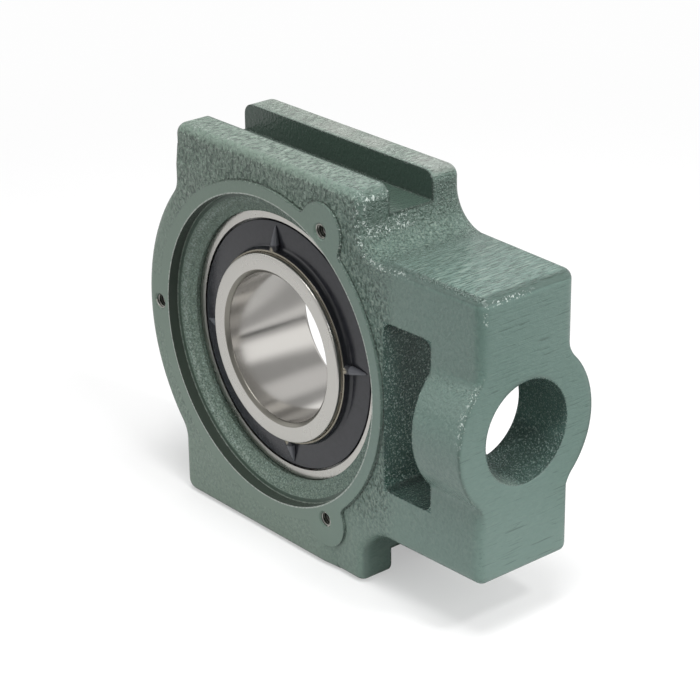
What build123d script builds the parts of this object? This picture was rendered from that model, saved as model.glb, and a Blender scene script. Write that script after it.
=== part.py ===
"""Take-up bearing unit: a cast housing that slides between two guide rails and holds a ball bearing insert.

Millimetres, +Z up. The origin is the centre of the bearing. The shaft axis is Y. The take-up screw comes in
along X through the end block at +X. The cover pads and their tapped holes face -Y (front) and +Y (back).
"""

import os
from math import asin, degrees, hypot, sqrt

from build123d import *

# Bearing insert: spherical outside, tapered bore for an adapter sleeve
seat_diameter = 85.0
outer_ring_width = 23.6
inner_ring_overhang = 4.0
bore_small_end_diameter = 45.0
bore_taper = 1 / 12
bore_chamfer = 1.3
ring_wall = 3.63
ball_count = 9
raceway_conformity = 0.52
raceway_depth = 2.3
ring_edge_chamfer = 0.5

# Seal recess in the outer ring, the seals pressed into it and the flingers outside them
recess_step = 1.4
seal_groove_depth = 0.5
seal_groove_width = 1.2
shield_thickness = 0.8
lip_height = 2.55
lip_thickness = 1.6
flinger_sheet = 0.8
flinger_collar_setback = 1.4
flinger_bend_radius = 1.2
flinger_rib_count = 4
flinger_rib_first_angle = 4.7
flinger_rib_root_radius = 1.5
flinger_rib_tip_radius = 0.2
flinger_rib_inset = 1.1

# Riveted two-piece ball cage
cage_sheet = 0.9
cage_width = 4.4
rivet_diameter = 2.0
rivet_head_diameter = 3.4
rivet_head_height = 0.7

# Grease way: a groove and two holes in the outer ring, a drilled passage and a nipple in the round end
grease_groove_width = 2.4
grease_groove_depth = 0.7
grease_hole_diameter = 1.5
grease_passage_diameter = 3.0
nipple_thread_diameter = 6.0
nipple_thread_length = 5.5
nipple_hexagon = 8.0
nipple_hexagon_height = 4.0
nipple_neck_diameter = 4.4
nipple_neck_length = 2.0
nipple_head_diameter = 6.5
nipple_head_length = 3.2
nipple_tip_diameter = 4.2
nipple_inlet_diameter = 1.6
nipple_foot = 2.0
nipple_end_wall = 1.0
spot_face_diameter = 11.0
spot_face_depth = 0.8
check_ball_diameter = 2.5
spring_wire = 0.35
spring_turns = 4

# Housing: guide flanges above and below, round end at -X, end block at +X
body_thickness = 37.0
pad_rise = 0.65
overall_height = 118.4
flange_length = 83.0
flange_corner_radius = 3.6
groove_width = 15.7
groove_depth = 8.25
round_end_margin = 6.8
round_end_blend = 7.0
end_face_position = 87.6
upper_step = 16.7
lower_step = 18.0
block_end_inset = 1.4
block_taper_offset = 4.5
block_top_corner_radius = 3.2
block_bottom_corner_radius = 1.4
rear_flange_blend = 11.0
front_flange_blend = 6.5
lower_flange_blend = 9.5
outer_edge_radius = 3.0
flush_edge_radius = 2.7
flush_drop = 6.7
flush_left = -20.0
flush_right_inset = 11.5
flush_fade = 6.0

# Housing: screw boss, screw hole and nut window
screw_hole_diameter = 30.0
boss_wall = 9.5
boss_blend = 3.5
end_wall_thickness = 18.6
window_wall = 4.15
window_margin = 0.9
window_corner_radius = 3.0

# Housing: bearing seat, cover seats, pads and tapped holes
seat_slope_depth = 2.35
cover_seat_step = 4.15
cover_seat_depth = 3.5
cover_seat_ledge = 1.4
pad_width = 3.75
ear_radius = 8.3
ear_blend = 3.0
ear_depth = 6.0
cover_screw_offset = 0.6
cover_screw_count = 3
cover_screw_first_angle = 60.0
cover_screw_core_diameter = 4.2
cover_screw_mouth_diameter = 5.2
cover_screw_depth = 8.0

# Fits and running clearances, all radial unless they say otherwise
seat_clearance = 0.03
raceway_clearance = 0.02
pocket_clearance = 0.15
lip_clearance = 0.05
flinger_clearance = 0.6
notch_clearance = 0.3
check_ball_clearance = 0.2
seal_to_cage_gap = 0.8

seat_radius = seat_diameter / 2
half_ring = outer_ring_width / 2
half_inner = half_ring + inner_ring_overhang
pitch_radius = (seat_diameter + bore_small_end_diameter) / 4
ball_radius = seat_radius - ring_wall - raceway_clearance - pitch_radius
ball_diameter = 2 * ball_radius
raceway_radius = raceway_conformity * ball_diameter
track_edge = sqrt(raceway_radius**2 - (raceway_radius - raceway_depth) ** 2)
inner_track_bottom = pitch_radius - ball_radius - raceway_clearance
outer_track_bottom = pitch_radius + ball_radius + raceway_clearance
shoulder_radius = inner_track_bottom + raceway_depth
land_radius = outer_track_bottom - raceway_depth
recess_radius = land_radius + recess_step
seal_groove_radius = recess_radius + seal_groove_depth
shield_bore_radius = shoulder_radius + lip_height
pocket_radius = ball_radius + pocket_clearance
seal_seat = pocket_radius + cage_sheet + seal_to_cage_gap
flinger_radius = recess_radius - flinger_clearance
collar_top = half_inner - flinger_collar_setback
grease_offset = (track_edge + seal_seat) / 2

half_body = body_thickness / 2
pad_face = half_body + pad_rise
half_height = overall_height / 2
half_flange = flange_length / 2
groove_floor = half_height - groove_depth
housing_seat_radius = seat_radius + seat_clearance
cover_seat_radius = seat_radius + cover_seat_step
cover_seat_floor = pad_face - cover_seat_depth
seat_half_width = cover_seat_floor - seat_slope_depth
pad_outer_radius = cover_seat_radius + pad_width
screw_circle_radius = pad_outer_radius + cover_screw_offset
round_end_radius = pad_outer_radius + round_end_margin
block_top = half_height - upper_step
block_bottom = -half_height + lower_step
block_taper_start = half_flange + block_taper_offset
flush_top = half_height - flush_drop
flush_right = half_flange - flush_right_inset
boss_radius = screw_hole_diameter / 2 + boss_wall
window_near_side = cover_seat_radius + window_wall
window_far_side = end_face_position - end_wall_thickness
nipple_seat = -round_end_radius + spot_face_depth
nipple_length = nipple_hexagon_height + nipple_neck_length + nipple_head_length
chamber_floor = -nipple_thread_length + nipple_foot
chamber_radius = check_ball_diameter / 2 + check_ball_clearance
check_ball_place = nipple_length - nipple_end_wall - check_ball_diameter / 2
cut_margin = 2.0
touching = 0.05


def plane_facing_front(y):
    """Plane seen from the front at a given y: its x is X and its y is Z."""
    return Plane(origin=(0, y, 0), x_dir=(1, 0, 0), z_dir=(0, -1, 0))


def slab(sketch, back, front):
    """Prism of a front view sketch between two values of y, back being the larger."""
    return extrude(plane_facing_front(back) * sketch, amount=back - front)


def disc(diameter, start, end):
    """Cylinder about the bearing axis between two values of y."""
    return slab(Circle(diameter / 2), max(start, end), min(start, end))


def turned(*edges):
    """Solid turned about the bearing axis from edges given as (radius, y)."""
    return revolve(make_face(Curve() + list(edges)), axis=Axis.Y, revolution_arc=360)


def on_both_sides(front_piece):
    """A front shape and its mirror image at the back."""
    return front_piece + mirror(front_piece, about=Plane.XZ)


def turned_over(piece):
    """The same piece turned over to the back of the bearing."""
    return Rot(180, 0, 0) * piece


def nearest_corner(sketch, x, z):
    return sketch.vertices().sort_by_distance(Vector(x, z, 0))[0]


def bored_across(radius, start, end):
    """Cylinder along X between two values of x."""
    return Pos(start, 0, 0) * Rot(0, 90, 0) * Cylinder(
        radius, end - start, align=(Align.CENTER, Align.CENTER, Align.MIN))


def casting_outline():
    """Front view of the casting without its openings and without the blend of the upper flange."""
    flanges = Rectangle(flange_length, overall_height)
    block = Pos(end_face_position / 2, (block_top + block_bottom) / 2) * Rectangle(
        end_face_position, block_top - block_bottom)
    round_end = Circle(round_end_radius) & Pos(-round_end_radius, 0) * Rectangle(
        2 * round_end_radius, 2 * half_height)
    outline = flanges + round_end + block
    round_end_height = sqrt(round_end_radius**2 - half_flange**2)
    corners = (
        (-half_flange, half_height, flange_corner_radius),
        (-half_flange, -half_height, flange_corner_radius),
        (half_flange, half_height, flange_corner_radius),
        (half_flange, -half_height, flange_corner_radius),
        (-half_flange, round_end_height, round_end_blend),
        (-half_flange, -round_end_height, round_end_blend),
        (half_flange, block_bottom, lower_flange_blend),
        (end_face_position, block_top, block_top_corner_radius),
        (end_face_position, block_bottom, block_bottom_corner_radius),
    )
    for x, z, radius in corners:
        outline = fillet(nearest_corner(outline, x, z), radius)
    return outline


def taper_wedge():
    """Wedge that thins the back of the end block towards its end face."""
    reach = end_face_position + cut_margin
    slope = block_end_inset / (end_face_position - block_taper_start)
    thinned = half_body - slope * (reach - block_taper_start)
    triangle = make_face(Polyline(
        (block_taper_start, half_body), (reach, half_body), (reach, thinned), close=True))
    return extrude(triangle, amount=overall_height, both=True)


def outer_rim(solid, side):
    """Edges round the outer face on one side, without the crease where the taper starts."""
    faces = solid.faces().filter_by(lambda face: side * face.normal_at().Y > abs(face.normal_at().X))
    rim = ShapeList(edge for face in faces for edge in face.edges())

    def on_crease(edge):
        upright = abs((edge % 0.5).Z) > abs((edge % 0.5).X)
        return upright and abs((edge @ 0.5).X - block_taper_start) < touching

    return rim.filter_by(lambda edge: not on_crease(edge))


def upper_blend():
    """Hollow corner between upper flange and end block, wider at the back than in front."""
    sections = []
    for y, radius in ((-half_body, front_flange_blend), (half_body, rear_flange_blend)):
        foot = half_flange + radius
        head = block_top + radius
        corner = (foot - radius * sqrt(0.5), head - radius * sqrt(0.5))
        section = make_face([
            Polyline((half_flange, head), (half_flange - cut_margin, head), (half_flange - cut_margin,
                     block_top - cut_margin), (foot, block_top - cut_margin), (foot, block_top)),
            ThreePointArc((foot, block_top), corner, (half_flange, head))])
        sections.append(plane_facing_front(y) * section)
    return loft(sections, ruled=True)


def screw_boss():
    return bored_across(boss_radius, window_far_side - cut_margin, end_face_position)


def boss_junction(body):
    """Edges where the round screw boss comes out of the flat faces of the end block."""
    def on_boss(edge):
        points = [edge @ share for share in (0.1, 0.5, 0.9)]
        round_it = all(abs(hypot(p.Y, p.Z) - boss_radius) < touching for p in points)
        beside_end = all(window_far_side - cut_margin < p.X < end_face_position - touching for p in points)
        return round_it and beside_end

    return body.edges().filter_by(on_boss)


def casting_body():
    """Flanges, round end, tapered end block and screw boss, with their cast edges rounded."""
    body = slab(casting_outline(), half_body, -half_body) + upper_blend()
    body -= on_both_sides(taper_wedge())
    for side in (-1, 1):
        body = fillet(outer_rim(body, side), outer_edge_radius)
    body += screw_boss()
    return fillet(boss_junction(body), boss_blend)


def cover_screw_places():
    return PolarLocations(screw_circle_radius, cover_screw_count, cover_screw_first_angle)


def pad_outline():
    """Machined pad round the cover seat, with an ear for each cover screw, seen from the front."""
    ears = Sketch() + cover_screw_places() * Circle(ear_radius)
    outline = Circle(pad_outer_radius) + ears
    return fillet(outline.vertices(), ear_blend)


def facing(side, sketch, height, depth):
    """Prism of a front view sketch, ending at a height over the middle plane in front (-1) or behind (1)."""
    ends = (side * height, side * (height - depth))
    return slab(sketch, max(ends), min(ends))


def flush_facing():
    """The round end and the lower flange at the back, level with the pad, with short slopes at the ends."""
    whole = casting_outline()
    reach = round_end_radius + half_height
    left = Pos(flush_left - reach / 2, flush_top - reach) * Rectangle(reach, 2 * reach)
    lower = Pos(flush_right - reach, -reach / 2) * Rectangle(2 * reach, reach)
    level = facing(1, whole & (left + lower), pad_face, pad_rise + flush_edge_radius + cut_margin)
    slope = make_face(Polyline((-flush_fade, pad_face), (0, pad_face), (0, half_body), close=True))
    left_slope = Pos(flush_left, 0, 0) * extrude(slope, amount=reach, dir=(0, 0, 1))
    right_slope = Pos(flush_right, 0, 0) * extrude(slope, amount=reach, dir=(0, 0, -1))
    across = extrude(slope, amount=reach, dir=(0, 0, 1), both=True)
    upper_slope = Pos(0, 0, flush_top) * Rot(0, -90, 0) * across
    level -= upper_slope + left_slope + right_slope
    rim = whole.wires().sort_by(SortBy.LENGTH)[-1].moved(plane_facing_front(0).location)

    def on_outer_rim(edge):
        middle = edge @ 0.5
        lowest = min((edge @ share).Y for share in (0, 1))
        return lowest > half_body - touching and rim.distance_to(Vector(middle.X, 0, middle.Z)) < touching

    return fillet(level.edges().filter_by(on_outer_rim), flush_edge_radius)


def pads(side):
    """Machined pad with its ears on one side."""
    pad = facing(side, pad_outline(), pad_face, pad_rise + cut_margin)
    for place in cover_screw_places():
        pad += facing(side, place * Circle(ear_radius), pad_face, ear_depth)
    return pad


def guide_grooves():
    """Straight grooves above and below that run on the guide rails."""
    height = groove_depth + cut_margin
    groove = Box(flange_length + 2 * round_end_radius, groove_width, height,
                 align=(Align.CENTER, Align.CENTER, Align.MIN))
    upper = Pos(0, 0, groove_floor) * groove
    return upper + mirror(upper, about=Plane.XY)


def nut_window():
    """Opening through the casting that takes the nut of the take-up screw."""
    height = 2 * (boss_radius + window_margin)
    outline = RectangleRounded(window_far_side - window_near_side, height, window_corner_radius)
    middle = (window_near_side + window_far_side) / 2
    return slab(Pos(middle, 0) * outline, boss_radius + cut_margin, -boss_radius - cut_margin)


def seat_cut():
    """Bore of the housing: a cover seat on each side, a sloping cast face and the spherical bearing seat."""
    edge_radius = sqrt(housing_seat_radius**2 - seat_half_width**2)
    outside = pad_face + cut_margin
    side = Polyline(
        (edge_radius, seat_half_width), (cover_seat_radius - cover_seat_ledge, cover_seat_floor),
        (cover_seat_radius, cover_seat_floor), (cover_seat_radius, outside), (0, outside))
    seat = ThreePointArc(
        (edge_radius, -seat_half_width), (housing_seat_radius, 0), (edge_radius, seat_half_width))
    return turned(mirror(side, about=Plane.XZ), seat, side, Line((0, outside), (0, -outside)))


def loading_notches():
    """Slots at the back of the seat through which the insert goes in edgeways before it is turned."""
    width = outer_ring_width + 2 * notch_clearance
    across = slab(Rectangle(2 * housing_seat_radius, width), pad_face, 0)
    return across & disc(2 * housing_seat_radius, pad_face, 0)


def cover_screw_holes():
    """Core holes of the cover screws, with a small countersink at the mouth."""
    core = cover_screw_core_diameter / 2
    mouth = cover_screw_mouth_diameter / 2
    sketch = Sketch() + cover_screw_places() * Circle(core)
    front = slab(sketch, -pad_face + cover_screw_depth, -pad_face - cut_margin)
    for place in cover_screw_places():
        countersink = Cone(core, mouth, mouth - core, align=(Align.CENTER, Align.CENTER, Align.MAX))
        front += plane_facing_front(-pad_face) * place * countersink
    return on_both_sides(front)


def grease_passage():
    """Drilled way from the nipple in the round end to the groove in the outer ring, with a spot face."""
    passage = bored_across(grease_passage_diameter / 2, -round_end_radius, -housing_seat_radius + cut_margin)
    thread = bored_across(nipple_thread_diameter / 2, -round_end_radius, nipple_seat + nipple_thread_length)
    spot = bored_across(spot_face_diameter / 2, -round_end_radius - cut_margin, nipple_seat)
    return Pos(0, grease_offset, 0) * (passage + thread + spot)


def screw_hole():
    """Plain hole for the take-up screw, from the end face into the nut window."""
    return bored_across(screw_hole_diameter / 2, window_far_side - cut_margin, end_face_position + cut_margin)


def housing():
    """The whole casting with its machined faces and holes."""
    body = casting_body()
    level_back = flush_facing()
    for side, level in ((-1, mirror(level_back, about=Plane.XZ)), (1, level_back)):
        body += level
        body += pads(side)
    body -= guide_grooves() + nut_window()
    body -= screw_hole() + seat_cut()
    body -= loading_notches() + cover_screw_holes()
    return body - grease_passage()


def outer_ring():
    """Outer ring with a spherical outside, a deep groove raceway and a recess for each seal."""
    edge = half_ring - ring_edge_chamfer
    edge_radius = sqrt(seat_radius**2 - edge**2)
    groove_edge = seal_seat + seal_groove_width
    back = Polyline(
        (edge_radius, edge), (edge_radius - ring_edge_chamfer, half_ring), (recess_radius, half_ring),
        (recess_radius, groove_edge), (seal_groove_radius, groove_edge), (seal_groove_radius, seal_seat),
        (land_radius, seal_seat), (land_radius, track_edge))
    ring = turned(
        back,
        ThreePointArc((land_radius, track_edge), (outer_track_bottom, 0), (land_radius, -track_edge)),
        mirror(back, about=Plane.XZ),
        ThreePointArc((edge_radius, -edge), (seat_radius, 0), (edge_radius, edge)),
    )
    groove = disc(2 * seat_radius + cut_margin, grease_offset + grease_groove_width / 2,
                  grease_offset - grease_groove_width / 2)
    groove -= disc(2 * (sqrt(seat_radius**2 - grease_offset**2) - grease_groove_depth), half_ring, 0)
    holes = Pos(0, grease_offset, 0) * bored_across(grease_hole_diameter / 2, -seat_radius, seat_radius)
    return ring - groove - holes


def inner_ring():
    """Inner ring with a raceway outside and a bore tapered to take an adapter sleeve from the back."""
    slope = bore_taper / 2
    small_end = bore_small_end_diameter / 2
    large_end = small_end + slope * 2 * half_inner
    step = slope * bore_chamfer
    corner = half_inner - ring_edge_chamfer
    return turned(
        Polyline(
            (shoulder_radius, -track_edge), (shoulder_radius, -corner),
            (shoulder_radius - ring_edge_chamfer, -half_inner), (small_end + bore_chamfer, -half_inner),
            (small_end + step, -half_inner + bore_chamfer), (large_end - step, half_inner - bore_chamfer),
            (large_end + bore_chamfer, half_inner), (shoulder_radius - ring_edge_chamfer, half_inner),
            (shoulder_radius, corner), (shoulder_radius, track_edge)),
        ThreePointArc((shoulder_radius, track_edge), (inner_track_bottom, 0), (shoulder_radius, -track_edge)),
    )


def around_bearing(index, count, first_angle=0.0):
    """Turn about the bearing axis that carries +X to the place of one of several like pieces."""
    return Rot(0, -first_angle - index * 360 / count, 0)


def ball(index):
    return around_bearing(index, ball_count) * Pos(pitch_radius, 0, 0) * Sphere(ball_radius)


def cage_half():
    """Front half of the cage: a flat ring pressed into a cup round each ball."""
    outer = 2 * pitch_radius + cage_width
    inner = 2 * pitch_radius - cage_width
    band = disc(outer, 0, -ball_diameter) - disc(inner, 0, -ball_diameter)
    pressed = disc(outer, 0, -cage_sheet)
    pockets = Part()
    shanks = Part()
    for index in range(ball_count):
        place = around_bearing(index, ball_count) * Pos(pitch_radius, 0, 0)
        pressed += place * Sphere(pocket_radius + cage_sheet)
        pockets += place * Sphere(pocket_radius)
        shanks += around_bearing(index + 0.5, ball_count) * rivet_shank()
    return (pressed & band) - pockets - shanks


def rivet_shank():
    return Pos(pitch_radius, 0, 0) * disc(rivet_diameter, cage_sheet, -cage_sheet)


def cage_rivets():
    """One rivet between each two balls, headed over on both halves of the cage."""
    head = Pos(pitch_radius, 0, 0) * disc(rivet_head_diameter, -cage_sheet, -cage_sheet - rivet_head_height)
    head = fillet(head.faces().sort_by(Axis.Y)[0].edges(), rivet_head_height / 2)
    rivet = rivet_shank() + on_both_sides(head)
    return Compound([around_bearing(index + 0.5, ball_count) * rivet for index in range(ball_count)])


def seal_shield():
    """Steel plate of the front seal, pressed into its groove in the outer ring."""
    rim = seal_groove_radius - shield_thickness
    return turned(Polyline(
        (shield_bore_radius, -seal_seat), (seal_groove_radius, -seal_seat),
        (seal_groove_radius, -seal_seat - seal_groove_width), (rim, -seal_seat - seal_groove_width),
        (rim, -seal_seat - shield_thickness), (shield_bore_radius, -seal_seat - shield_thickness),
        close=True))


def seal_lip():
    """Rubber of the front seal, bonded to the plate and running on the inner ring."""
    tip = shoulder_radius + lip_clearance
    root = (tip + shield_bore_radius) / 2
    middle = seal_seat + shield_thickness / 2
    back = middle - lip_thickness / 2
    front = middle + lip_thickness / 2
    return turned(Polyline(
        (shield_bore_radius, -back), (root, -back), (tip, -seal_seat), (tip, -middle),
        (root, -front), (shield_bore_radius, -front), close=True))


def flinger_rib():
    """Pressed stiffening rib at the foot of the collar, a cone lying on the plate."""
    root = shoulder_radius + flinger_sheet / 2
    run = flinger_radius - flinger_rib_inset - root
    crest = collar_top - flinger_rib_root_radius
    drop = crest - half_ring
    tilt = degrees(asin(drop / hypot(run, drop)))
    cone = Cone(flinger_rib_root_radius, flinger_rib_tip_radius, hypot(run, drop),
                align=(Align.CENTER, Align.CENTER, Align.MIN))
    return Pos(root, -crest, 0) * Rot(0, 0, tilt) * Rot(0, 90, 0) * cone


def flinger():
    """Pressed plate outside the front seal, with a collar gripping the inner ring and radial ribs."""
    back = half_ring - flinger_sheet
    collar = shoulder_radius + flinger_sheet
    bend_foot = collar + flinger_bend_radius
    bend_head = half_ring + flinger_bend_radius
    plate = turned(
        Polyline(
            (bend_foot, -half_ring), (flinger_radius, -half_ring), (flinger_radius, -back),
            (shoulder_radius, -back), (shoulder_radius, -collar_top), (collar, -collar_top),
            (collar, -bend_head)),
        RadiusArc((collar, -bend_head), (bend_foot, -half_ring), flinger_bend_radius),
    )
    for index in range(flinger_rib_count):
        plate += around_bearing(index, flinger_rib_count, flinger_rib_first_angle) * flinger_rib()
    return plate - disc(2 * shoulder_radius, half_inner, -half_inner)


def grease_nipple():
    """Nipple screwed into the round end, with a conical head and a chamber for the check ball."""
    flats = Plane.YZ * RegularPolygon(nipple_hexagon / 2, 6, major_radius=False)
    hexagon = extrude(flats, amount=nipple_hexagon_height)
    head_start = nipple_hexagon_height + nipple_neck_length
    tip = head_start + nipple_head_length
    neck = bored_across(nipple_neck_diameter / 2, nipple_hexagon_height, head_start)
    thread = bored_across(nipple_thread_diameter / 2, -nipple_thread_length, 0)
    head = Pos(head_start, 0, 0) * Rot(0, 90, 0) * Cone(
        nipple_head_diameter / 2, nipple_tip_diameter / 2, nipple_head_length,
        align=(Align.CENTER, Align.CENTER, Align.MIN))
    inlet = bored_across(nipple_inlet_diameter / 2, -nipple_thread_length, tip)
    chamber = bored_across(chamber_radius, chamber_floor, tip - nipple_end_wall)
    return on_nipple_axis(thread + hexagon + neck + head - inlet - chamber)


def on_nipple_axis(piece):
    """Place a piece drawn along +X from the spot face onto the nipple, which points to -X."""
    return Pos(nipple_seat, grease_offset, 0) * Rot(0, 0, 180) * piece


def check_ball():
    return on_nipple_axis(Pos(check_ball_place, 0, 0) * Sphere(check_ball_diameter / 2))


def check_spring():
    """Spring that holds the ball against the inlet."""
    free = check_ball_place - check_ball_diameter / 2 - chamber_floor - spring_wire
    coil = chamber_radius - spring_wire
    path = Helix(free / spring_turns, free, coil)
    section = Plane(origin=path @ 0, z_dir=path % 0) * Circle(spring_wire / 2)
    spring = sweep(section, path=path)
    return on_nipple_axis(Pos(chamber_floor + spring_wire / 2, 0, 0) * Rot(0, 90, 0) * spring)


def save(name, solid):
    export_step(solid, f"parts/{name}.step")


os.makedirs("parts", exist_ok=True)
save("housing", housing())
save("grease_nipple", grease_nipple())
save("nipple_check_ball", check_ball())
save("nipple_spring", check_spring())
save("outer_ring", outer_ring())
save("inner_ring", inner_ring())
for index in range(ball_count):
    save(f"ball_{index + 1}", ball(index))
save("cage_rivets", cage_rivets())
for name, piece in (("cage", cage_half()), ("seal_shield", seal_shield()),
                    ("seal_lip", seal_lip()), ("flinger", flinger())):
    save(f"{name}_front", piece)
    save(f"{name}_rear", turned_over(piece))
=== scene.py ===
from functools import reduce
from math import cos, pi, radians, sin

import bmesh
import bpy
from mathutils import Matrix, Vector


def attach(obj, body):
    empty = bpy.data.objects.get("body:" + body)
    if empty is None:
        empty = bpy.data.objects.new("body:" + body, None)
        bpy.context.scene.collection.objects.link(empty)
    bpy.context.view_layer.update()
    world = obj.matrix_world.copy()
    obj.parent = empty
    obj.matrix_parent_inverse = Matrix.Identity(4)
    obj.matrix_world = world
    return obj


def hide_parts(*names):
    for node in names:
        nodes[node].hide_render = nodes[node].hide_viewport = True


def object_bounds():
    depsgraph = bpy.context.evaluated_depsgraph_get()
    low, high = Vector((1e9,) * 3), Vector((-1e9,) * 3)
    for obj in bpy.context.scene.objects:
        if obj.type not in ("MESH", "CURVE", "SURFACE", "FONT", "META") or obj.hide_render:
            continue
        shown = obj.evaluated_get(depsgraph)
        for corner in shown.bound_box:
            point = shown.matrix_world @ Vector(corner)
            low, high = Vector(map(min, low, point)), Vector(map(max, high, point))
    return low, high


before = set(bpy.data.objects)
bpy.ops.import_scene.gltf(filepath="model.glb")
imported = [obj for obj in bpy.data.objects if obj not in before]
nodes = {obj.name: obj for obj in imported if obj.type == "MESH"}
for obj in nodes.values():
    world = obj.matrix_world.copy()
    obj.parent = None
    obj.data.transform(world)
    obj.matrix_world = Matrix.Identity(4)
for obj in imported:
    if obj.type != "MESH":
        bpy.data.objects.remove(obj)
cad_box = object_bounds()
scene = bpy.context.scene
scene.view_settings.view_transform = "Standard"


# Studio: a white sweep that carries only a soft shadow, a broad box lamp overhead, two small ones that pick
# out the enamel's edges, and a camera above and to the right of the front face.
def add(tree, kind, inputs=None, **options):
    """Adds a node and fills its inputs, by name or place, with numbers or with other nodes' outputs."""
    node = tree.nodes.new(kind)
    for option, value in options.items():
        setattr(node, option, value)
    for place, value in (inputs or {}).items():
        if isinstance(value, bpy.types.Node):
            value = value.outputs[0]
        if isinstance(value, bpy.types.NodeSocket):
            tree.links.new(value, node.inputs[place])
        else:
            node.inputs[place].default_value = value
    return node


def maths(tree, operation, *values):
    """One step of arithmetic on numbers or other nodes' outputs."""
    return add(tree, "ShaderNodeMath", dict(enumerate(values)), operation=operation).outputs[0]


def chain(tree, operation, *values):
    """Applies an operation such as ADD or MAXIMUM to any number of values, from left to right."""
    return reduce(lambda left, right: maths(tree, operation, left, right), values)


def times(tree, *values):
    """Product of any number of values."""
    return chain(tree, "MULTIPLY", *values)


def distance(tree, first, second):
    """Distance from the origin in a plane."""
    return maths(tree, "SQRT", maths(tree, "ADD", times(tree, first, first), times(tree, second, second)))


def ramp(tree, value, low, high, to_low=0.0, to_high=1.0):
    """Smooth step from to_low to to_high as the value goes from low to high."""
    return add(tree, "ShaderNodeMapRange", {"Value": value, "From Min": low, "From Max": high,
                                            "To Min": to_low, "To Max": to_high},
               interpolation_type="SMOOTHSTEP").outputs[0]


def region(tree, *limits):
    """Where all limits hold. Each is (value, where it is 0, where it is 1), or a share that is ready."""
    return times(tree, *(ramp(tree, *limit) if isinstance(limit, tuple) else limit for limit in limits))


def mix_value(tree, share, first, second):
    return add(tree, "ShaderNodeMix", {0: share, 2: first, 3: second}).outputs[0]


def mix_colour(tree, share, first, second):
    """Mixes two colours, each a node's output or three numbers."""
    node = add(tree, "ShaderNodeMix", data_type="RGBA")
    for place, value in ((0, share), (6, first), (7, second)):
        if isinstance(value, bpy.types.NodeSocket):
            tree.links.new(value, node.inputs[place])
        else:
            node.inputs[place].default_value = (*value, 1) if isinstance(value, tuple) else value
    return node.outputs[2]


def new_material(name):
    material = bpy.data.materials.new(name)
    material.use_nodes = True
    material.node_tree.nodes.clear()
    return material, material.node_tree


def seen_straight(tree):
    """1 for rays straight from the camera or through something clear, 0 for those that light the object."""
    path = add(tree, "ShaderNodeLightPath")
    return maths(tree, "MAXIMUM", path.outputs["Is Camera Ray"], path.outputs["Is Transmission Ray"])


floor_half = 6.0
floor_corners = [(x * floor_half, y * floor_half, cad_box[0].z)
                 for x, y in ((-1, -1), (1, -1), (1, 1), (-1, 1))]
floor_mesh = bpy.data.meshes.new("studio_floor")
floor_mesh.from_pydata(floor_corners, [], [(0, 1, 2, 3)])
floor = bpy.data.objects.new("studio_floor", floor_mesh)
scene.collection.objects.link(floor)
sweep, tree = new_material("white_sweep")
spot = add(tree, "ShaderNodeTexCoord").outputs["Object"]
grain = add(tree, "ShaderNodeTexNoise", {"Vector": spot, "Scale": 40.0, "Detail": 3.0})
paper_tone = add(tree, "ShaderNodeMapRange", {"Value": grain, "To Min": 0.85, "To Max": 0.87}).outputs[0]
x, y, _ = add(tree, "ShaderNodeSeparateXYZ", {0: spot}).outputs
seen = seen_straight(tree)
unseen = maths(tree, "SUBTRACT", 1.0, seen)
# what the object alone sees: grey paper, a painted shadow just behind it, paler beyond, and a painted black
# patch in front in place of a black card
toward_dark_patch = maths(tree, "SUBTRACT", times(tree, x, 0.76), times(tree, y, 0.65))
for share, level in ((unseen, 0.66),
                     (region(tree, (y, 0.045, 0.075), unseen), 0.34),
                     (region(tree, (y, 0.10, 0.20), unseen), 0.62),
                     (region(tree, (toward_dark_patch, 0.17, 0.20), unseen), 0.05)):
    paper_tone = mix_colour(tree, share, paper_tone, (level, level, level))
paper = add(tree, "ShaderNodeBsdfDiffuse", {"Color": paper_tone})
glow = add(tree, "ShaderNodeEmission", {"Strength": 0.985})
glowing = times(tree, seen, ramp(tree, distance(tree, x, y), 0.18, 0.50, 0.42, 1.0))
look = add(tree, "ShaderNodeMixShader", {0: glowing, 1: paper, 2: glow})
add(tree, "ShaderNodeOutputMaterial", {"Surface": look})
floor_mesh.materials.append(sweep)

world = bpy.data.worlds.new("studio_air")
world.use_nodes = True
tree = world.node_tree
tree.nodes.clear()
direction = add(tree, "ShaderNodeTexCoord").outputs["Generated"]
x, y, z = add(tree, "ShaderNodeSeparateXYZ", {0: direction}).outputs
# the room is pale in a band low on its walls, dim above and below it, and dimmer towards the camera
screen = region(tree, (z, 0.0, 0.20), (z, 0.62, 0.42))
towards_camera = maths(tree, "ADD", times(tree, y, -0.77), times(tree, x, 0.64))
lit = times(tree, maths(tree, "ADD", 0.45, times(tree, screen, 0.85)),
            ramp(tree, towards_camera, 0.35, 0.85, 1.0, 0.45))
# a paler panel high behind the object, which the lower half of the bore mirrors
panel = add(tree, "ShaderNodeVectorMath", {0: direction, 1: (-0.05, 0.59, 0.80)}, operation="DOT_PRODUCT")
lit = maths(tree, "ADD", lit, ramp(tree, panel.outputs["Value"], 0.93, 0.99, 0.0, 0.42))
air = add(tree, "ShaderNodeBackground", {"Color": (1, 1, 1, 1),
                                         "Strength": mix_value(tree, seen_straight(tree), lit, 1.0)})
add(tree, "ShaderNodeOutputWorld", {"Surface": air})
scene.world = world

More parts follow.
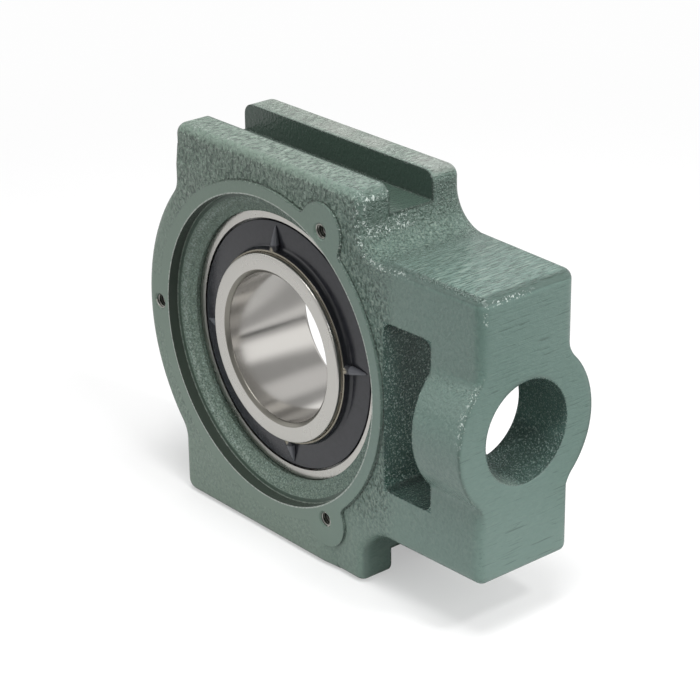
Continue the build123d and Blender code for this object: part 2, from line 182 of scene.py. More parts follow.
# name, place, what it points at, width, height, watts
for name, place, aim, width, height, watts in (
        ("overhead_box", (0.20, -0.14, 0.88), (0.0, 0.0, 0.0), 0.36, 0.36, 6.0),
        ("edge_box", (0.80, -0.20, 0.45), (0.02, 0.0, 0.0), 0.15, 0.35, 1.3),
        ("sparkle_box", (0.56, 0.06, 0.70), (0.02, 0.0, 0.0), 0.12, 0.12, 2.4)):
    lamp = bpy.data.lights.new(name, "AREA")
    lamp.shape = "RECTANGLE"
    lamp.size = width
    lamp.size_y = height
    lamp.energy = watts
    holder = bpy.data.objects.new(name, lamp)
    holder.location = place
    holder.rotation_euler = (Vector(aim) - Vector(place)).to_track_quat("-Z", "Y").to_euler()
    scene.collection.objects.link(holder)

# the camera's angles in degrees, its distances in metres, and its lens and shift in pixels of the picture
azimuth, elevation, roll = radians(49.82), radians(23.89), radians(-0.67)
stand_back, stand_right, stand_down, stand_behind = 0.69845, 0.01038, 0.00562, 0.0007
picture_side, focal_length, shift_right, shift_up = 700, 2393.25, -4.25, 3.01
back = Vector((sin(azimuth) * cos(elevation), -cos(azimuth) * cos(elevation), sin(elevation)))
right = Vector((0, 0, 1)).cross(back).normalized()
up = back.cross(right)
right, up = cos(roll) * right + sin(roll) * up, cos(roll) * up - sin(roll) * right
camera = bpy.data.cameras.new("camera")
camera.sensor_width = 36
camera.lens = focal_length * camera.sensor_width / picture_side
camera.shift_x = shift_right / picture_side
camera.shift_y = shift_up / picture_side
camera.clip_start = 0.05
camera.clip_end = 50
viewer = bpy.data.objects.new("camera", camera)
scene.collection.objects.link(viewer)
stand = back * stand_back + right * stand_right - up * stand_down + Vector((0, stand_behind, 0))
viewer.matrix_world = Matrix.Translation(stand) @ Matrix((right, up, back)).transposed().to_4x4()
scene.camera = viewer


# Housing: one grey-iron casting with its sand skin left on and its pads turned flat, then sprayed all over
# with a grey-green enamel that lies like orange peel on the skin and chips on edges, with painted shade in
# its corners and openings and painted glints on its edges.
def new_group(name, inputs, outputs, kind="ShaderNodeTree"):
    """Starts a node group. Inputs are (name, socket, value), outputs are (name, socket)."""
    group = bpy.data.node_groups.new(name, kind)
    for title, socket_kind, value in inputs:
        socket = group.interface.new_socket(title, in_out="INPUT", socket_type="NodeSocket" + socket_kind)
        if value is not None:
            socket.default_value = value
    for title, socket_kind in outputs:
        group.interface.new_socket(title, in_out="OUTPUT", socket_type="NodeSocket" + socket_kind)
    return group, group.nodes.new("NodeGroupInput").outputs, group.nodes.new("NodeGroupOutput").inputs


def use_group(tree, group, inputs=None):
    return add(tree, "ShaderNodeGroup", inputs, node_tree=group).outputs


def dress(thing, *materials):
    """Gives an object these materials in place of those it has."""
    thing.data.materials.clear()
    for material in materials:
        thing.data.materials.append(material)


# Millimetres, the distance from the bearing's axis, and the surface's own direction.
places, _, outside = new_group("places", [], [("Point", "Vector"), ("X", "Float"), ("Y", "Float"),
                                              ("Z", "Float"), ("Radius", "Float"), ("Facing", "Vector")])
spot = add(places, "ShaderNodeTexCoord").outputs
point = add(places, "ShaderNodeVectorMath", {0: spot["Object"], "Scale": 1000.0}, operation="SCALE")
x, y, z = add(places, "ShaderNodeSeparateXYZ", {0: point}).outputs
for title, value in (("Point", point.outputs[0]), ("X", x), ("Y", y), ("Z", z),
                     ("Radius", distance(places, x, z)), ("Facing", spot["Normal"])):
    places.links.new(value, outside[title])

# Lumps of a skin: a stretched, slightly warped noise, steepened and cut off at its crests and in its valleys.
lump_gain = 4.0
skin, inside, outside = new_group("cast_skin", [("Point", "Vector", None),
                                                ("Stretch", "Vector", (1.0, 1.0, 1.0)),
                                                ("Lumps per mm", "Float", 0.8), ("Detail", "Float", 2.0)],
                                  [("Height", "Float")])
stretched = add(skin, "ShaderNodeVectorMath", {0: inside["Point"], 1: inside["Stretch"]},
                operation="MULTIPLY")
lumps = add(skin, "ShaderNodeTexNoise", {"Vector": stretched, "Scale": inside["Lumps per mm"],
                                         "Detail": inside["Detail"], "Roughness": 0.5, "Distortion": 0.6})
swelling = times(skin, maths(skin, "SUBTRACT", lumps.outputs["Fac"], 0.5), lump_gain)
skin.links.new(maths(skin, "MINIMUM", maths(skin, "MAXIMUM", swelling, -1.0), 1.0), outside["Height"])

# Where two faces meet, as the angle between the surface and its rounded self.
edges, inside, outside = new_group("edges", [("Width", "Float", 0.001)], [("Edge", "Float")])
rounded = add(edges, "ShaderNodeBevel", {"Radius": inside["Width"]}, samples=4)
plain = add(edges, "ShaderNodeNewGeometry").outputs["Normal"]
likeness = add(edges, "ShaderNodeVectorMath", {0: rounded, 1: plain}, operation="DOT_PRODUCT")
edges.links.new(ramp(edges, likeness.outputs["Value"], 0.995, 0.80), outside["Edge"])


def skin_height(tree, point, per_mm, detail, stretch=(1.0, 1.0, 1.0)):
    """Height, from -1 to 1, of a skin with so many lumps in a millimetre."""
    return use_group(tree, skin, {"Point": point, "Stretch": stretch, "Lumps per mm": per_mm,
                                  "Detail": detail})["Height"]


# The casting's places in millimetres from the bearing's centre, as its solid has them.
pad_radius, ear_radius, ear_circle, ear_fillet, tapping_radius = 50.4, 8.3, 51.0, 2.4, 2.1
seat_radius, ledge_radius, ledge_depth = 46.65, 45.25, 15.65
groove_floor, groove_half = 50.95, 7.85
window_middle, window_half, window_top = 59.9, 9.1, 25.4
hole_radius, boss_radius, end_wall, end_face = 15.0, 24.5, 69.0, 87.6

enamel, tree = new_material("grey_green_enamel")
where = use_group(tree, places)
point, x, y, z, radius = (where[title] for title in ("Point", "X", "Y", "Z", "Radius"))
facing_x, facing_y, facing_z = add(tree, "ShaderNodeSeparateXYZ", {0: where["Facing"]}).outputs
across = maths(tree, "ABSOLUTE", facing_y)
depth = maths(tree, "ABSOLUTE", y)
level = maths(tree, "ABSOLUTE", z)
from_screw = distance(tree, y, z)
# how far outside the turned pad and its ears a point lies
ear_distances = []
for angle in (60, 180, 300):
    ear_place = (ear_circle * cos(radians(angle)), 0, ear_circle * sin(radians(angle)))
    from_ear = add(tree, "ShaderNodeVectorMath", {0: point, 1: ear_place}, operation="SUBTRACT")
    flat = add(tree, "ShaderNodeVectorMath", {0: from_ear, 1: (1, 0, 1)}, operation="MULTIPLY")
    ear_distances.append(add(tree, "ShaderNodeVectorMath", {0: flat}, operation="LENGTH").outputs["Value"])
nearest_ear = chain(tree, "MINIMUM", *ear_distances)
outside_pad = maths(tree, "SMOOTH_MIN", maths(tree, "SUBTRACT", radius, pad_radius),
                    maths(tree, "SUBTRACT", nearest_ear, ear_radius), ear_fillet)

# regions of the casting
on_top = ramp(tree, facing_z, 0.4, 0.8)
on_side = ramp(tree, facing_x, 0.5, 0.85)
tops_and_ends = maths(tree, "MAXIMUM", on_top, on_side)
on_block = ramp(tree, x, 49.0, 56.0)
in_groove = region(tree, (depth, groove_half + 0.75, groove_half + 0.05),
                   (level, groove_floor - 0.95, groove_floor - 0.35))
off_turned = maths(tree, "MAXIMUM", ramp(tree, outside_pad, 0.0, 0.5), in_groove)
from_window = maths(tree, "ABSOLUTE", maths(tree, "SUBTRACT", x, window_middle))
in_window = region(tree, (from_window, window_half + 0.5, window_half - 0.1),
                   (level, window_top + 0.4, window_top - 0.2))
in_hole = region(tree, (from_screw, hole_radius + 0.4, hole_radius + 0.1),
                 (x, end_wall - 3.0, end_wall - 2.0))
inner = maths(tree, "MAXIMUM", in_window, in_hole)
underfoot = times(tree, in_window, on_top)
slope = region(tree, (radius, ledge_radius + 0.25, ledge_radius - 0.15),
               (depth, ledge_depth + 0.15, ledge_depth - 0.05))
in_corner = region(tree, (x, 40.5, 42.0), (x, 60.0, 50.0), (z, 34.0, 41.0))
rail_rounding = region(tree, (across, 0.20, 0.40), (across, 0.99, 0.94), (level, 52.0, 54.5))
boss_foot = region(tree, (level, 11.0, 14.0), (level, 24.0, 21.0), (x, end_wall - 3.0, end_wall))
boss_end = region(tree, (x, end_face - 7.1, end_face - 4.1),
                  (from_screw, hole_radius + 1.5, hole_radius + 3.0))
rounding = maths(tree, "MAXIMUM", boss_end, boss_foot)

# how lumpy the skin is: least on the turned faces, little on the round end, the lower flange and the block
block_share = chain(tree, "ADD", 0.18, times(tree, on_top, 0.62), times(tree, on_side, -0.10))
lumpy = times(tree, ramp(tree, x, -47.0, -34.0, 0.25, 1.0), ramp(tree, z, -44.0, -28.0, 0.22, 1.0),
              mix_value(tree, on_block, 1.0, block_share), ramp(tree, in_groove, 0.0, 1.0, 1.0, 0.15))
lumpy = times(tree, maths(tree, "MAXIMUM", lumpy, in_corner), ramp(tree, off_turned, 0.0, 1.0, 0.06, 1.0),
              ramp(tree, rail_rounding, 0.0, 1.0, 1.0, 0.45))
lumpy_inside = times(tree, inner, ramp(tree, underfoot, 0.0, 1.0, 1.0, 0.3))
lumpy = chain(tree, "MAXIMUM", lumpy, lumpy_inside, times(tree, slope, 0.6))

# skins: slanting lumps in front, drawn-out ripples on tops and ends, speckle in openings and corners
slanted = add(tree, "ShaderNodeMapping", {"Vector": point, "Rotation": (0, radians(-30), 0),
                                          "Scale": (1.0, 1.0, 0.70)}).outputs[0]
front_lumps = skin_height(tree, slanted, 1.15, 1.5)
ripples = skin_height(tree, point, 1.05, 2.0, (1.0, 0.45, 1.0))
combed = skin_height(tree, point, 1.6, 2.0, (1.0, 0.15, 1.0))
lines = skin_height(tree, point, 1.7, 2.0, (1.0, 0.06, 1.0))
speckle = skin_height(tree, point, 1.5, 3.0)
fine = skin_height(tree, point, 2.6, 1.0)
crumbs = skin_height(tree, point, 1.3, 3.0)
grit = skin_height(tree, point, 2.0, 2.0)
body_skin = mix_value(tree, tops_and_ends, front_lumps, ripples)
body_skin = mix_value(tree, times(tree, on_block, on_top), body_skin, combed)
body_skin = mix_value(tree, chain(tree, "MAXIMUM", inner, in_corner, slope), body_skin, speckle)
edge = use_group(tree, edges, {"Width": 0.0014})["Edge"]
dragged = times(tree, on_block, tops_and_ends)
# how high each stands, in millimetres, and the radii to which edges and the boss look rounded, in metres
skin_relief, line_relief, fine_relief, edge_relief, rounded_relief = 0.38, 0.03, 0.008, 0.35, 0.04
edge_softness, boss_softness = 0.0004, 0.0022
height = chain(tree, "ADD", times(tree, body_skin, lumpy, skin_relief),
               times(tree, lines, dragged, line_relief), times(tree, fine, fine_relief),
               times(tree, crumbs, edge, ramp(tree, rounding, 0.0, 1.0, edge_relief, rounded_relief)))
softness = ramp(tree, rounding, 0.0, 1.0, edge_softness, boss_softness)
softened = add(tree, "ShaderNodeBevel", {"Radius": softness}, samples=6)
bump = add(tree, "ShaderNodeBump", {"Height": height, "Strength": 1.0, "Distance": 0.001, "Normal": softened})

# places where painted shade, shadow and highlights lie on the enamel
boss_top = region(tree, (x, end_wall - 3.0, end_wall), (facing_z, 0.15, 0.5),
                  (from_screw, boss_radius + 0.7, boss_radius + 0.3))
hole_foot = region(tree, (z, -4.0, -9.0), in_hole)
block_rounding = region(tree, (facing_z, 0.15, 0.40), (facing_z, 0.985, 0.88), (z, 34.0, 36.0), on_block)
block_left = region(tree, (x, 74.0, 54.0), (x, 46.0, 52.0), on_top)
rail_end = region(tree, (facing_x, 0.15, 0.5), (z, 44.0, 48.0), (x, 30.0, 35.0))
lower_end = region(tree, (z, -43.0, -46.0), (x, 46.0, 43.0), on_side)
rear_rail = region(tree, (y, 8.0, 10.0), (z, 54.0, 57.0), on_top)
# painted glints, broken up like chips, along the front of the block's top corner, the edge of the blend and
# the boss's edge
front_half = ramp(tree, y, 4.0, -6.0)
block_corner = region(tree, (facing_x, 0.78, 0.88), (facing_x, 0.998, 0.985), (z, 34.0, 36.0), front_half)
blend_edge = region(tree, (across, 0.70, 0.82), (across, 0.998, 0.98), (x, 37.0, 40.0), (x, 62.0, 54.0),
                    (z, 30.0, 34.0), front_half)
boss_edge = region(tree, (z, 0.0, 5.0), (z, 19.0, 16.0), (x, end_face - 3.0, end_face - 1.2),
                   (from_screw, boss_radius - 0.9, boss_radius - 0.4), ramp(tree, y, -12.0, -14.0, 0.0, 0.7))
glinting_edges = chain(tree, "MAXIMUM", block_corner, blend_edge, boss_edge)
# a painted shadow along the step round the pad; the cover seat's dark wall, darker ledge and pale line; and
# its pale rim, where the enamel is worn thin
pad_step_shadow = region(tree, (outside_pad, -0.05, 0.10), (outside_pad, 0.80, 0.50), (x, -22.0, -14.0),
              (z, -50.0, -44.0), (across, 0.0, 0.1), (depth, 9.5, 10.5))
in_seat = ramp(tree, radius, seat_radius + 0.25, seat_radius + 0.10)
seat_wall = region(tree, (radius, seat_radius - 0.45, seat_radius - 0.15), (across, 0.5, 0.2), in_seat)
ledge = region(tree, (radius, ledge_radius - 0.10, ledge_radius + 0.10),
               (depth, ledge_depth + 0.11, ledge_depth + 0.05), in_seat)
ledge_line = region(tree, (radius, seat_radius - 0.40, seat_radius - 0.25),
                    (depth, ledge_depth + 0.30, ledge_depth + 0.20), in_seat)
rim_line = region(tree, (radius, seat_radius + 0.50, seat_radius + 0.30),
                  (radius, seat_radius - 0.05, seat_radius + 0.01), (across, 0.8, 0.95))
# a painted highlight along the left side of the slope below the seat
slope_highlight = region(tree, (radius, 42.8, 43.6), (radius, 45.0, 44.2), (x, 6.0, -22.0), (crumbs, -0.3, 0.5), slope)
# painted shade inside the tapped holes
in_tapping = region(tree, (nearest_ear, tapping_radius + 0.20, tapping_radius + 0.05), (across, 0.6, 0.3))

cloud = add(tree, "ShaderNodeTexNoise", {"Vector": point, "Scale": 0.06, "Detail": 3.0}).outputs["Fac"]
# the enamel turns cooler towards the block's end, a painted tint of cool light from the right
warm = mix_colour(tree, cloud, (0.138, 0.196, 0.156), (0.156, 0.214, 0.174))
cool = mix_colour(tree, cloud, (0.124, 0.198, 0.170), (0.142, 0.218, 0.190))
paint = mix_colour(tree, ramp(tree, x, 0.0, 80.0), warm, cool)
for share, strength, colour in (
        # painted shade in the creases, a painted highlight on the crests and painted shade in the lines on
        # the block
        (region(tree, (body_skin, 0.15, -0.75), lumpy), 0.86, (0.050, 0.080, 0.063)),
        (region(tree, (body_skin, 0.0, 0.9), lumpy), 0.74, (0.265, 0.335, 0.285)),
        (region(tree, (lines, -0.35, -0.95), dragged), 0.50, (0.050, 0.080, 0.066)),
        # painted shade on top of the boss, in the openings, low in the hole, on the roundings, on the left of
        # the block's top and at the rail ends, and a painted shadow on the lower end
        (boss_top, 0.25, (0.080, 0.110, 0.092)),
        (inner, 0.85, (0.034, 0.100, 0.078)),
        (in_hole, 0.60, (0.112, 0.195, 0.166)),
        (region(tree, (y, -5.0, 0.0), hole_foot), 0.60, (0.036, 0.066, 0.056)),
        (block_rounding, 0.62, (0.050, 0.076, 0.065)),
        (block_left, 0.42, (0.062, 0.096, 0.082)),
        (rail_end, 0.42, (0.065, 0.100, 0.082)),
        (lower_end, 0.55, (0.050, 0.080, 0.068)),
        # a painted reflection on the rear rail, a painted sheen at the foot of the hole, and pale flecks
        # painted as glints in the openings
        (rear_rail, ramp(tree, cloud, 0.35, 0.65, 0.12, 0.30), (0.47, 0.44, 0.42)),
        (region(tree, (y, 0.0, -5.0), hole_foot), 0.28, (0.36, 0.40, 0.37)),
        (region(tree, (grit, 0.20, 0.55), maths(tree, "MAXIMUM", inner, times(tree, slope, 0.5))),
         ramp(tree, in_hole, 0.0, 1.0, 0.80, 0.46), (0.40, 0.54, 0.48)),
        # painted shade on the window's floor and in the groove
        (underfoot, 0.92, (0.015, 0.040, 0.032)),
        (in_groove, 0.86, (0.038, 0.064, 0.050)),
        # chipped along the edges, with painted glints among the chips
        (region(tree, (crumbs, 0.30, 0.80), edge), 0.50, (0.48, 0.56, 0.50)),
        (region(tree, (crumbs, 0.20, 0.55), glinting_edges), 0.72, (0.66, 0.74, 0.70)),
        # a painted shadow round the pad, the cover seat's wall, ledge and lines, a painted highlight on the
        # slope and painted shade in the tapped holes
        (pad_step_shadow, ramp(tree, crumbs, -0.8, 0.3, 0.95, 0.35), (0.030, 0.042, 0.034)),
        (seat_wall, 0.9, (0.026, 0.033, 0.026)),
        (ledge, 0.60, (0.040, 0.064, 0.050)),
        (ledge_line, ramp(tree, crumbs, -0.6, 0.4, 0.28, 0.62), (0.24, 0.30, 0.25)),
        (rim_line, ramp(tree, crumbs, -0.6, 0.2, 0.25, 0.75), (0.50, 0.54, 0.50)),
        (slope_highlight, 0.65, (0.36, 0.44, 0.39)),
        (in_tapping, 0.85, (0.030, 0.032, 0.028))):
    paint = mix_colour(tree, times(tree, share, strength), paint, colour)
gloss = ramp(tree, cloud, 0.3, 0.7, 0.20, 0.26)
look = add(tree, "ShaderNodeBsdfPrincipled", {"Base Color": paint, "Roughness": gloss, "Normal": bump})
add(tree, "ShaderNodeOutputMaterial", {"Surface": look})
dress(nodes["housing"], enamel)


# Outer and inner rings: through-hardened bearing steel, ground on the faces, the bore and the spherical
# outside, then rust-proofed. The faces carry the marks of the wheel as faint rings. The outer ring sits in
# the housing's spherical seat, the inner ring runs in it on the balls.
turned, inside, outside = new_group("turned_marks", [("Radius", "Float", 0.0), ("Along", "Float", 0.0),
                                                     ("Marks per mm", "Float", 4.0)], [("Height", "Float")])
pair = add(turned, "ShaderNodeCombineXYZ", {0: inside["Radius"], 1: inside["Along"], 2: 0.0})
marks = add(turned, "ShaderNodeTexNoise", {"Vector": pair, "Scale": inside["Marks per mm"], "Detail": 2.0})
turned.links.new(maths(turned, "SUBTRACT", marks.outputs["Fac"], 0.5), outside["Height"])


def steel(name, colour, tint, smoothest, roughest, marks_height, per_mm):
    """Bare steel with faint turned or ground rings, a drifting tint and a slightly uneven shine."""
    material, tree = new_material(name)
    where = use_group(tree, places)
    marks = use_group(tree, turned, {"Radius": where["Radius"], "Along": where["Y"], "Marks per mm": per_mm})
    drift = add(tree, "ShaderNodeTexNoise", {"Vector": where["Point"], "Scale": 0.09, "Detail": 4.0})
    shade = mix_colour(tree, drift.outputs["Fac"], colour, tint)
    bump = add(tree, "ShaderNodeBump", {"Height": marks["Height"], "Strength": 1.0, "Distance": marks_height})
    shine = add(tree, "ShaderNodeMapRange", {"Value": drift.outputs["Fac"], "From Min": 0.3, "From Max": 0.7,
                                             "To Min": smoothest, "To Max": roughest})
    look = add(tree, "ShaderNodeBsdfPrincipled", {"Base Color": shade, "Metallic": 1.0, "Roughness": shine,
                                                  "Normal": bump})
    add(tree, "ShaderNodeOutputMaterial", {"Surface": look})
    return material


def new_shaper(name, inputs):
    """Starts a geometry tree that takes a wire and the named inputs, (name, socket, value) each."""
    return new_group(name, [("Geometry", "Geometry", None), *inputs], [("Geometry", "Geometry")],
                     "GeometryNodeTree")


def finish_shape(shaper, geometry, inside, outside):
    """Ends a geometry tree: real geometry, dressed in the material that the tree is given."""
    real = add(shaper, "GeometryNodeRealizeInstances", {0: geometry})
    dressed = add(shaper, "GeometryNodeSetMaterial", {0: real, "Material": inside["Finish"]})
    shaper.links.new(dressed.outputs[0], outside["Geometry"])


def shape(name, points, links, shaper, settings):
    """Runs a geometry tree over a wire mesh given in millimetres and keeps the result as one plain piece."""
    weld, crease = 0.0000005, radians(35)
    wire = bpy.data.meshes.new(name + "_wire")
    wire.from_pydata([(a / 1000, b / 1000, c / 1000) for a, b, c in points], links, [])
    holder = bpy.data.objects.new(name + "_wire", wire)
    scene.collection.objects.link(holder)
    modifier = holder.modifiers.new("shape", "NODES")
    modifier.node_group = shaper
    for item in shaper.interface.items_tree:
        if item.in_out == "INPUT" and item.name in settings:
            modifier[item.identifier] = settings[item.name]
    mesh = bpy.data.meshes.new_from_object(holder.evaluated_get(bpy.context.evaluated_depsgraph_get()))
    bpy.data.objects.remove(holder)
    tidy = bmesh.new()
    tidy.from_mesh(mesh)
    bmesh.ops.remove_doubles(tidy, verts=tidy.verts, dist=weld)
    bmesh.ops.recalc_face_normals(tidy, faces=tidy.faces)
    tidy.to_mesh(mesh)
    tidy.free()
    mesh.shade_smooth()
    mesh.set_sharp_from_angle(angle=crease)
    piece = bpy.data.objects.new(name, mesh)
    scene.collection.objects.link(piece)
    return piece


def arc(centre, radius, start, end, steps):
    """Points on an arc in the profile plane, angles in degrees from the radial direction."""
    turns = [radians(start + (end - start) * step / steps) for step in range(steps + 1)]
    return [(centre[0] + radius * cos(turn), centre[1] + radius * sin(turn)) for turn in turns]


def loop(profile):
    """The profile's (radius, distance along the axis) as wire points, and the links that close it."""
    count = len(profile)
    return [(r, a, 0.0) for r, a in profile], [(index, (index + 1) % count) for index in range(count)]


# Turns a closed profile about the bearing's axis.
lathe, inside, outside = new_shaper("lathe", [("Sides", "Int", 160), ("Rail radius", "Float", 0.001),
                                              ("Finish", "Material", None)])
inward = add(lathe, "ShaderNodeCombineXYZ", {0: times(lathe, inside["Rail radius"], -1.0), 1: 0.0, 2: 0.0})
profile = add(lathe, "GeometryNodeSetPosition", {"Geometry": inside["Geometry"], "Offset": inward})
rail = add(lathe, "GeometryNodeCurvePrimitiveCircle", {"Resolution": inside["Sides"],
                                                       "Radius": inside["Rail radius"]})
swept = add(lathe, "GeometryNodeCurveToMesh", {"Curve": rail, "Profile Curve":
                                               add(lathe, "GeometryNodeMeshToCurve", {0: profile})})
stood = add(lathe, "GeometryNodeTransform", {0: swept, "Rotation": (radians(90), 0, 0)})
finish_shape(lathe, stood, inside, outside)

ground = steel("ground_ring_steel", (0.51, 0.498, 0.468), (0.56, 0.548, 0.518), 0.24, 0.32, 0.0000015, 5.0)
honed = steel("honed_bore_steel", (0.50, 0.485, 0.46), (0.55, 0.535, 0.51), 0.13, 0.18, 0.0000008, 5.0)
# a darker copy of the ring steel, painted shade for the bore's corners
shaded_chamfer_steel = steel("shaded_corner_steel", (0.22, 0.212, 0.185), (0.27, 0.26, 0.23), 0.34, 0.42, 0.000002, 5.0)
dress(nodes["outer_ring"], ground)

sides = 200
shoulder, ring_half, small_end, taper = 28.43, 15.8, 22.5, 1 / 24
large_end = small_end + 2 * ring_half * taper
corner, rim, small_corner, setback, face_inner = 1.3, 0.5, 0.6, 0.02, 26.6
ball_diameter, conformity, track_bottom, track_sweep = 12.7, 0.52, 26.13, 50
track_radius = conformity * ball_diameter
track = [(track_bottom + track_radius - track_radius * cos(radians(turn)), track_radius * sin(radians(turn)))
         for turn in range(-track_sweep, track_sweep + 1, 5)]
bore_start, face_start = small_end + setback, setback - ring_half
ring_profile = (arc((bore_start + small_corner, face_start + corner), small_corner, 180, 225, 3)
                + arc((bore_start + corner, face_start + small_corner), small_corner, 225, 270, 3)
                + [(face_inner, -ring_half)] + arc((shoulder - rim, rim - ring_half), rim, 270, 360, 5)
                + [(shoulder, track[0][1])] + [spot for spot in track if spot[0] < shoulder]
                + [(shoulder, track[-1][1])] + arc((shoulder - rim, ring_half - rim), rim, 0, 90, 5)
                + [(face_inner, ring_half)]
                + arc((large_end + corner, ring_half - corner), corner, 90, 180, 8))
points, links = loop(ring_profile)
ring = shape("inner_ring_turned", points, links, lathe, {"Finish": ground, "Sides": sides})
dress(ring, ground, honed, shaded_chamfer_steel)
# the faces nearer the axis than this are the bore's, which is honed, and its corners', which are turned and
# given a darker steel as painted shade
bore_reach, end_lean, bore_lean = 25.6, 0.97, 0.3
for face in ring.data.polygons:
    reach = Vector((face.center.x, face.center.z)).length * 1000
    if reach < bore_reach and abs(face.normal.y) < end_lean:
        face.material_index = 1 if abs(face.normal.y) < bore_lean else 2
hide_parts("inner_ring")
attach(ring, "inner_ring")


# Cover screw threads: six M5 holes, three in each pad's ears, tapped through the enamel after spraying, so
# that their turns are bare iron, darkened by oil.
tapped_iron = steel("tapped_iron", (0.38, 0.38, 0.35), (0.50, 0.50, 0.46), 0.30, 0.42, 0.000002, 4.0)
threads, inside, outside = new_shaper("threads", [("Turns", "Float", 8.5), ("Pitch", "Float", 0.0008),
                                                  ("Radius", "Float", 0.00212), ("Depth", "Float", 0.00024),
                                                  ("Circle", "Float", 0.051), ("Face", "Float", 0.0188),
                                                  ("Finish", "Material", None)])
length = times(threads, inside["Turns"], inside["Pitch"])
helix = add(threads, "GeometryNodeCurveSpiral", {"Resolution": 28, "Rotations": inside["Turns"],
                                                 "Start Radius": inside["Radius"],
                                                 "End Radius": inside["Radius"], "Height": length})
ridge = add(threads, "GeometryNodeCurvePrimitiveCircle", {"Resolution": 6, "Radius": inside["Depth"]})
turns = add(threads, "GeometryNodeCurveToMesh", {"Curve": helix, "Profile Curve": ridge, "Fill Caps": True})
laid = add(threads, "GeometryNodeTransform", {0: turns, "Rotation": (radians(-90), 0, 0)})
first_hole = add(threads, "ShaderNodeCombineXYZ", {0: inside["Circle"], 2: 0.0,
                                                   1: times(threads, inside["Face"], -1.0)})
inset = add(threads, "GeometryNodeTransform", {0: laid, "Translation": first_hole})
spots = add(threads, "GeometryNodePoints", {"Count": 6})
number = add(threads, "GeometryNodeInputIndex")
turn = maths(threads, "ADD", times(threads, maths(threads, "MODULO", number, 3.0), 2 * pi / 3), pi / 3)
flip = times(threads, maths(threads, "GREATER_THAN", number, 2.5), pi)
turned_round = add(threads, "ShaderNodeCombineXYZ", {0: flip, 1: turn, 2: 0.0})
copies = add(threads, "GeometryNodeInstanceOnPoints", {"Points": spots, "Instance": inset,
                                                       "Rotation": turned_round})
finish_shape(threads, copies, inside, outside)
# this tree draws its own curve, so the wire only gives it something to stand on
stub = [(0.0, 0.0, 0.0), (1.0, 0.0, 0.0)]
tapped = shape("tapped_threads", stub, [(0, 1)], threads, {"Finish": tapped_iron})
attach(tapped, "housing")


# Balls, cage and rivets, sealed inside the rings: lapped and polished chrome steel balls, held apart by a
# cage of two halves pressed from steel strip and riveted together between the balls.
polished = steel("polished_ball_steel", (0.74, 0.74, 0.74), (0.78, 0.78, 0.78), 0.06, 0.10, 0.0000003, 3.0)
pressed = steel("pressed_cage_steel", (0.45, 0.44, 0.41), (0.52, 0.51, 0.48), 0.32, 0.45, 0.000004, 3.0)
for number in range(1, 10):
    dress(nodes[f"ball_{number}"], polished)
for name in ("cage_front", "cage_rear", "cage_rivets"):
    dress(nodes[name], pressed)


# Seals: nitrile rubber lips moulded on to pressed steel shields. The shields are sprung into grooves in the
# outer ring, and the lips rub on the inner ring.
shield = steel("pressed_shield_steel", (0.36, 0.36, 0.35), (0.42, 0.42, 0.41), 0.35, 0.5, 0.000003, 4.0)
rubber, tree = new_material("nitrile_rubber")
grain = skin_height(tree, use_group(tree, places)["Point"], 4.0, 2.0)
tone = mix_colour(tree, ramp(tree, grain, -0.8, 0.8), (0.018, 0.018, 0.020), (0.030, 0.030, 0.033))
bump = add(tree, "ShaderNodeBump", {"Height": grain, "Distance": 0.00001})
look = add(tree, "ShaderNodeBsdfPrincipled", {"Base Color": tone, "Roughness": 0.55, "Normal": bump})
add(tree, "ShaderNodeOutputMaterial", {"Surface": look})
for side in ("front", "rear"):
    dress(nodes[f"seal_shield_{side}"], shield)
    dress(nodes[f"seal_lip_{side}"], rubber)


# Flingers: thin plates pressed from sheet steel and blackened, with four ribs pressed in at the foot of a
# collar that grips the inner ring.
sheet, plate_rim, plate_face, collar_end, bend = 0.8, 37.37, 11.8, 14.4, 1.2
collar = shoulder + sheet
blackened, tree = new_material("blackened_sheet_steel")
where = use_group(tree, places)
grain = skin_height(tree, where["Point"], 0.5, 3.0)
# painted highlights on the crests of the ribs and a painted golden highlight on the collar's end
depth = maths(tree, "ABSOLUTE", where["Y"])
on_rib = region(tree, (maths(tree, "SUBTRACT", depth, plate_face), 0.05, 0.35),
                (where["Radius"], collar + 1.27, collar + 1.87))
on_collar_end = ramp(tree, depth, collar_end - 0.3, collar_end - 0.1)
tone = mix_colour(tree, ramp(tree, grain, -0.9, 0.9), (0.026, 0.027, 0.033), (0.032, 0.033, 0.040))
tone = mix_colour(tree, times(tree, on_rib, 0.85), tone, (0.150, 0.155, 0.175))
tone = mix_colour(tree, times(tree, on_collar_end, 0.85), tone, (0.34, 0.31, 0.25))
bump = add(tree, "ShaderNodeBump", {"Height": grain, "Distance": 0.000002})
look = add(tree, "ShaderNodeBsdfPrincipled", {"Base Color": tone, "Metallic": times(tree, on_collar_end, 0.8),
                                              "Roughness": ramp(tree, grain, -0.9, 0.9, 0.18, 0.26),
                                              "Normal": bump})
add(tree, "ShaderNodeOutputMaterial", {"Surface": look})

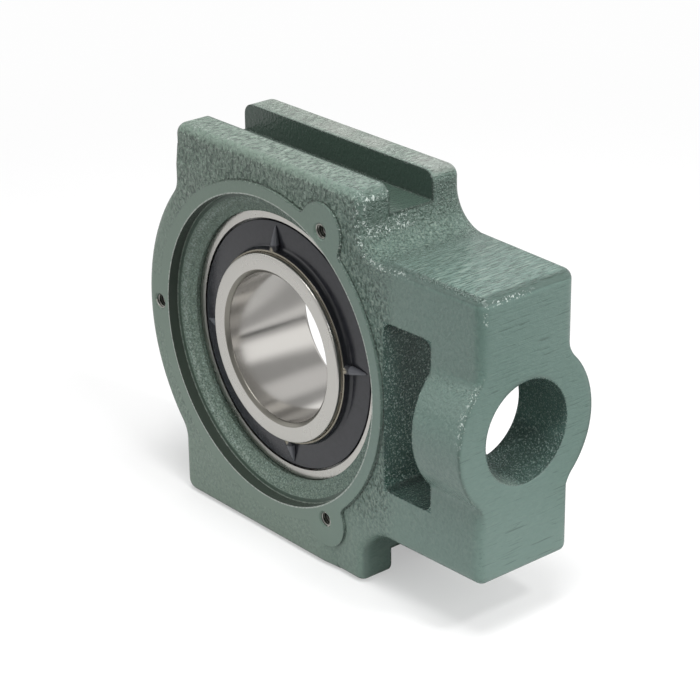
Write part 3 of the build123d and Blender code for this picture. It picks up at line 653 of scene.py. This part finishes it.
# Draws a tapering rib from the wire's first point to its last and repeats it about the bearing's axis.
ribs, inside, outside = new_shaper("ribs", [("Count", "Int", 4), ("First angle", "Float", 0.0),
                                            ("Root radius", "Float", 0.0015), ("Tip radius", "Float", 0.0002),
                                            ("Finish", "Material", None)])
spine = add(ribs, "GeometryNodeMeshToCurve", {0: inside["Geometry"]})
share = add(ribs, "GeometryNodeSplineParameter").outputs["Factor"]
bulge = maths(ribs, "POWER", maths(ribs, "SUBTRACT", 1.0, share), 0.8)
size = maths(ribs, "ADD", inside["Tip radius"], times(ribs, bulge, inside["Root radius"]))
section = add(ribs, "GeometryNodeCurvePrimitiveCircle", {"Resolution": 24, "Radius": 1.0})
rib = add(ribs, "GeometryNodeCurveToMesh", {"Curve": spine, "Profile Curve": section, "Scale": size,
                                            "Fill Caps": True})
spots = add(ribs, "GeometryNodePoints", {"Count": inside["Count"]})
step = maths(ribs, "DIVIDE", -2 * pi, inside["Count"])
turn = maths(ribs, "SUBTRACT", times(ribs, add(ribs, "GeometryNodeInputIndex"), step), inside["First angle"])
turned_round = add(ribs, "ShaderNodeCombineXYZ", {0: 0.0, 1: turn, 2: 0.0})
copies = add(ribs, "GeometryNodeInstanceOnPoints", {"Points": spots, "Instance": rib,
                                                    "Rotation": turned_round})
finish_shape(ribs, copies, inside, outside)

rim_corner, collar_corner, collar_relief, rib_foot, rib_inset = 0.25, 0.4, 0.3, 1.5, 1.1
plate_profile = (arc((collar + bend, -plate_face - bend), bend, 180, 90, 8)
                 + arc((plate_rim - rim_corner, rim_corner - plate_face), rim_corner, 270, 360, 4)
                 + [(plate_rim, sheet - plate_face), (shoulder, sheet - plate_face)]
                 + [(shoulder, collar_relief - collar_end)]
                 + arc((shoulder + collar_corner, collar_corner - collar_end), collar_corner, 180, 270, 5)
                 + arc((collar - collar_corner, collar_corner - collar_end), collar_corner, 270, 360, 5))
root, run_out = (shoulder + sheet / 2, rib_foot - collar_end), (plate_rim - rib_inset, -plate_face)
spans, first_angle = 8, radians(4.7)
spine_points = [[start + (end - start) * part / spans for start, end in zip(root, run_out)]
                for part in range(spans + 1)]
for side, body_side in (("front", 1), ("rear", -1)):
    points, links = loop([(r, a * body_side) for r, a in plate_profile])
    plate = shape("flinger_plate_" + side, points, links, lathe, {"Finish": blackened, "Sides": sides})
    raised = shape("flinger_ribs_" + side, [(r, a * body_side, 0.0) for r, a in spine_points],
                   [(part, part + 1) for part in range(spans)], ribs,
                   {"Finish": blackened, "First angle": first_angle * body_side})
    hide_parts("flinger_" + side)
    for piece in (plate, raised):
        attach(piece, "inner_ring")


# Grease nipple: turned steel, zinc plated, screwed into the round end. Inside it a hardened check ball sits
# on a coil spring of drawn wire.
plated = steel("zinc_plated_steel", (0.60, 0.58, 0.50), (0.68, 0.66, 0.58), 0.22, 0.32, 0.000003, 4.0)
drawn_wire = steel("drawn_spring_steel", (0.42, 0.42, 0.42), (0.50, 0.50, 0.50), 0.25, 0.35, 0.000002, 6.0)
dress(nodes["grease_nipple"], plated)
dress(nodes["nipple_check_ball"], polished)
dress(nodes["nipple_spring"], drawn_wire)
